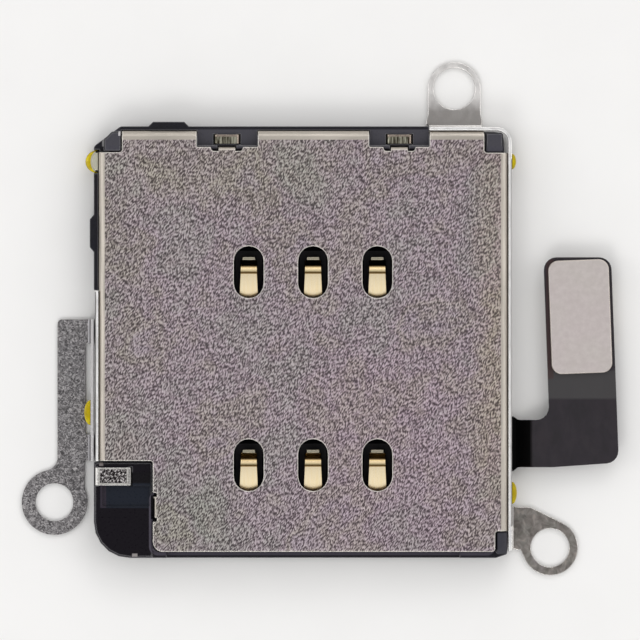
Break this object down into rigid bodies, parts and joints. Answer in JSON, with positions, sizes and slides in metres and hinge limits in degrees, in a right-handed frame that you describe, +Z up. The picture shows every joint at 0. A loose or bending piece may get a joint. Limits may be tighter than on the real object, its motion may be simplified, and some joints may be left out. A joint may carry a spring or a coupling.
{
  "type": "sim card socket",
  "caption": "Push-eject card socket for a phone: steel cover with windows over gold spring contacts, steel frame with screw ears, black moulding, flex tail with plug.",
  "frame": {"origin": "middle of the cover's outline, on the underside that the frame rests on", "axes": "+Z up out of the cover, +Y away from the mouth where the tray goes in, +X towards the flex tail"},
  "size_m": [0.0237, 0.0203, 0.0016],
  "materials": {
    "shell_steel": "grit blasted, satin",
    "frame_steel": "bright rolled sheet",
    "bracket_steel": "coarse rolled grain",
    "black_plastic": "fine satin moulding",
    "contact_gold": "gold plated",
    "lever_steel": "stamped",
    "pin_steel": "turned",
    "clip_steel": "knurled and etched",
    "spring_steel": "rolled strip",
    "flex_film": "matt polyimide",
    "stiffener_steel": "satin",
    "plug_plastic": "moulded",
    "plug_gold": "gold plated",
    "plug_nail_steel": "tin plated",
    "yellow_glue": "cured adhesive",
    "grey_lug": "satin"
  },
  "bodies": {
    "socket": {"base_housing": "black_plastic", "connector_plug": "plug_plastic", "connector_stiffener": "stiffener_steel", "corner_lug": "grey_lug", "detect_terminal": "spring_steel", "flex_circuit": "flex_film", "glue_dot_1": "yellow_glue", "glue_dot_2": "yellow_glue", "glue_dot_3": "yellow_glue", "glue_dot_4": "yellow_glue", "left_bracket": "bracket_steel", "lever_pin": "pin_steel", "lock_clip_1": "clip_steel", "lock_clip_2": "clip_steel", "mounting_frame": "frame_steel", "plug_nail_1": "plug_nail_steel", "plug_nail_2": "plug_nail_steel", "plug_terminal_1": "plug_gold", "plug_terminal_10": "plug_gold", "plug_terminal_11": "plug_gold", "plug_terminal_12": "plug_gold", "plug_terminal_2": "plug_gold", "plug_terminal_3": "plug_gold", "plug_terminal_4": "plug_gold", "plug_terminal_5": "plug_gold", "plug_terminal_6": "plug_gold", "plug_terminal_7": "plug_gold", "plug_terminal_8": "plug_gold", "plug_terminal_9": "plug_gold", "rod_clip": "clip_steel", "top_shell": "shell_steel"},
    "rod": {"eject_rod": "lever_steel"},
    "lever": {"eject_lever": "lever_steel"},
    "latch": {"latch_spring": "spring_steel"},
    "detect": {"detect_spring": "spring_steel"},
    "contact_1_blade": {"contact_1": "contact_gold"},
    "contact_2_blade": {"contact_2": "contact_gold"},
    "contact_3_blade": {"contact_3": "contact_gold"},
    "contact_4_blade": {"contact_4": "contact_gold"},
    "contact_5_blade": {"contact_5": "contact_gold"},
    "contact_6_blade": {"contact_6": "contact_gold"}
  },
  "joints": [
    {"name": "contact_1_flex", "type": "hinge", "parent": "socket", "child": "contact_1_blade", "pos_m": [-0.00216, 0.00006, 0.0003], "axis": [-1, 0, 0], "range_deg": [0, 8], "stiffness_Nm_per_rad": 0.005},
    {"name": "contact_2_flex", "type": "hinge", "parent": "socket", "child": "contact_2_blade", "pos_m": [0.00038, 0.00006, 0.0003], "axis": [-1, 0, 0], "range_deg": [0, 8], "stiffness_Nm_per_rad": 0.005},
    {"name": "contact_3_flex", "type": "hinge", "parent": "socket", "child": "contact_3_blade", "pos_m": [0.00292, 0.00006, 0.0003], "axis": [-1, 0, 0], "range_deg": [0, 8], "stiffness_Nm_per_rad": 0.005},
    {"name": "contact_4_flex", "type": "hinge", "parent": "socket", "child": "contact_4_blade", "pos_m": [-0.00216, -0.00756, 0.0003], "axis": [-1, 0, 0], "range_deg": [0, 8], "stiffness_Nm_per_rad": 0.005},
    {"name": "contact_5_flex", "type": "hinge", "parent": "socket", "child": "contact_5_blade", "pos_m": [0.00038, -0.00756, 0.0003], "axis": [-1, 0, 0], "range_deg": [0, 8], "stiffness_Nm_per_rad": 0.005},
    {"name": "contact_6_flex", "type": "hinge", "parent": "socket", "child": "contact_6_blade", "pos_m": [0.00292, -0.00756, 0.0003], "axis": [-1, 0, 0], "range_deg": [0, 8], "stiffness_Nm_per_rad": 0.005},
    {"name": "rod_push", "type": "slide", "parent": "socket", "child": "rod", "axis": [0, 1, 0], "range_m": [0, 0.0012]},
    {"name": "lever_swing", "type": "hinge", "parent": "socket", "child": "lever", "pos_m": [-0.0039, 0.0063, 0.0008], "axis": [0, 0, -1], "range_deg": [0, 19.7]},
    {"name": "latch_flex", "type": "hinge", "parent": "socket", "child": "latch", "pos_m": [0.00695, -0.00205, 0.00085], "axis": [0, 0, -1], "range_deg": [0, 7.5], "stiffness_Nm_per_rad": 0.006},
    {"name": "detect_flex", "type": "hinge", "parent": "socket", "child": "detect", "pos_m": [0.00588, 0.00696, 0.00085], "axis": [0, 0, -1], "range_deg": [0, 8], "stiffness_Nm_per_rad": 0.004}
  ],
  "couplings": [
    {"joint": "lever_swing", "follows": "rod_push", "rad_per_m": 285.71}
  ]
}
